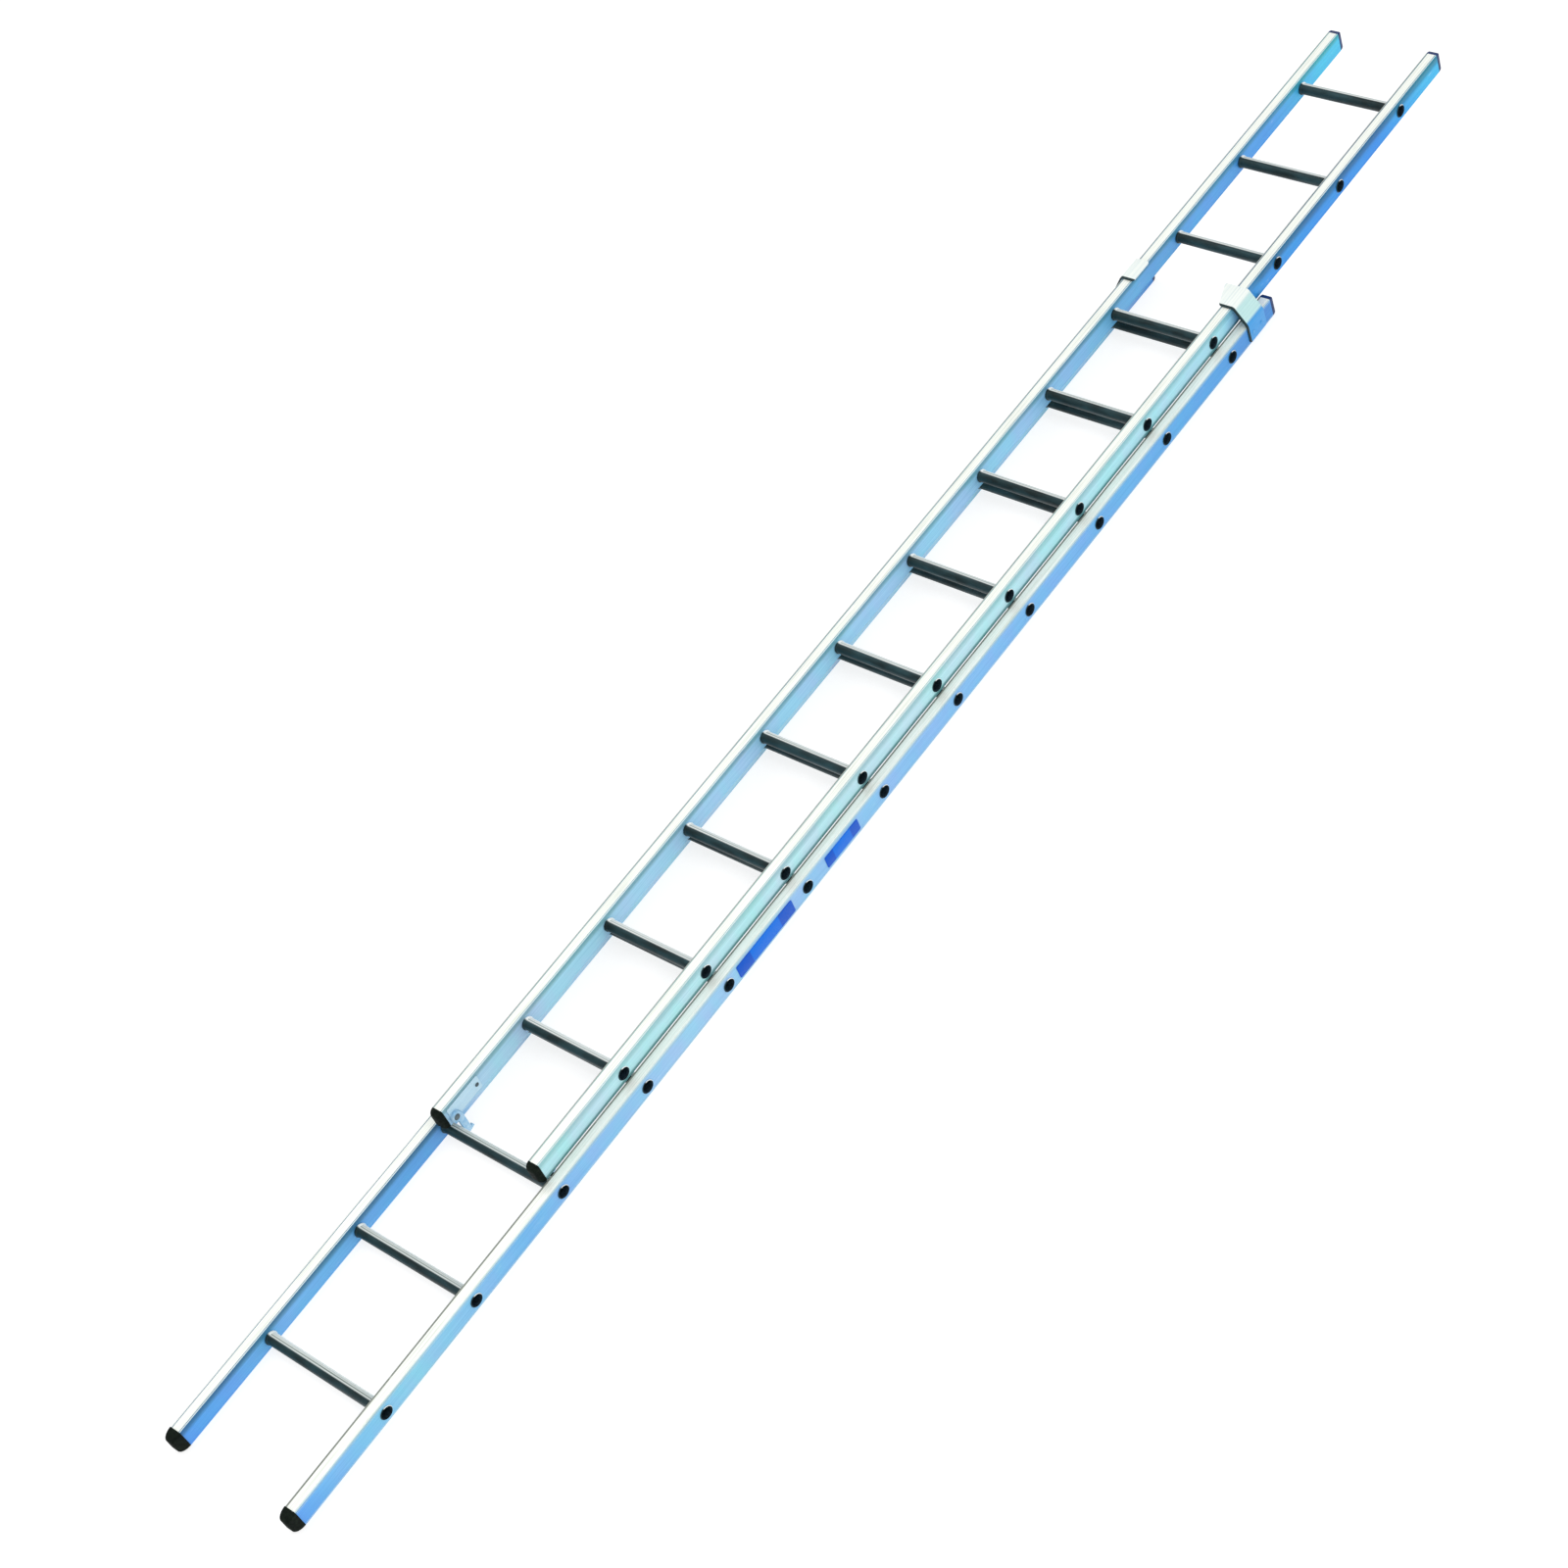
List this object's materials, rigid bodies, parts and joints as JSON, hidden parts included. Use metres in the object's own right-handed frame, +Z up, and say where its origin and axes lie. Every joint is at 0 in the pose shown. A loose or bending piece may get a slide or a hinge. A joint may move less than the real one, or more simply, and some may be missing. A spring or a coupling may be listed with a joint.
{
  "type": "extension ladder",
  "caption": "Push-up extension ladder: an aluminium fly section slides in a base section, held by guide brackets at the top and hooked rung latches at its foot.",
  "frame": {"origin": "centre of the footprint on the floor, with the ladder lying on its back and the fly three rungs out", "axes": "+X across the rungs towards the side with the label plates, +Y along the stiles from the feet to the top, +Z up from the floor towards the climbing side"},
  "size_m": [0.3828, 4.378, 0.106],
  "materials": {
    "stile": "anodised box stile, silver flanges and light blue webs, satin, drawn along its length",
    "rung": "mill-finish ribbed tube, satin",
    "rubber_foot": "moulded black rubber, dull",
    "end_plug": "moulded dark blue plastic",
    "bracket": "bent sheet, satin",
    "latch": "cast, tumbled",
    "rivet": "closed rivet, satin",
    "label": "plain blue plate with a pale band, no text"
  },
  "bodies": {
    "base": {"base_stile_left": "stile", "base_stile_right": "stile", "base_rung_01": "rung", "base_rung_02": "rung", "base_rung_03": "rung", "base_rung_04": "rung", "base_rung_05": "rung", "base_rung_06": "rung", "base_rung_07": "rung", "base_rung_08": "rung", "base_rung_09": "rung", "base_rung_10": "rung", "base_rung_11": "rung", "base_rung_12": "rung", "foot_left": "rubber_foot", "base_top_plug_left": "end_plug", "guide_bracket_left": "bracket", "bracket_rivet_left_1": "rivet", "bracket_rivet_left_2": "rivet", "foot_right": "rubber_foot", "base_top_plug_right": "end_plug", "guide_bracket_right": "bracket", "bracket_rivet_right_1": "rivet", "bracket_rivet_right_2": "rivet", "label_plate_large": "label", "label_plate_small": "label"},
    "fly": {"fly_stile_left": "stile", "fly_stile_right": "stile", "fly_rung_01": "rung", "fly_rung_02": "rung", "fly_rung_03": "rung", "fly_rung_04": "rung", "fly_rung_05": "rung", "fly_rung_06": "rung", "fly_rung_07": "rung", "fly_rung_08": "rung", "fly_rung_09": "rung", "fly_rung_10": "rung", "fly_rung_11": "rung", "fly_rung_12": "rung", "fly_bottom_cap_left": "rubber_foot", "fly_top_plug_left": "end_plug", "latch_plate_left": "bracket", "latch_plate_rivet_left": "rivet", "latch_pivot_left": "rivet", "fly_bottom_cap_right": "rubber_foot", "fly_top_plug_right": "end_plug", "latch_plate_right": "bracket", "latch_plate_rivet_right": "rivet", "latch_pivot_right": "rivet"},
    "latch_left": {"latch_hook_left": "latch"},
    "latch_right": {"latch_hook_right": "latch"}
  },
  "joints": [
    {"name": "fly_slide", "type": "slide", "parent": "base", "child": "fly", "axis": [0, 1, 0], "range_m": [-0.56, 1.68]},
    {"name": "latch_left_swing", "type": "hinge", "parent": "fly", "child": "latch_left", "pos_m": [-0.1184, -1.33, 0.066], "axis": [1, 0, 0], "range_deg": [0, 80]},
    {"name": "latch_right_swing", "type": "hinge", "parent": "fly", "child": "latch_right", "pos_m": [0.1184, -1.33, 0.066], "axis": [1, 0, 0], "range_deg": [0, 80]}
  ]
}
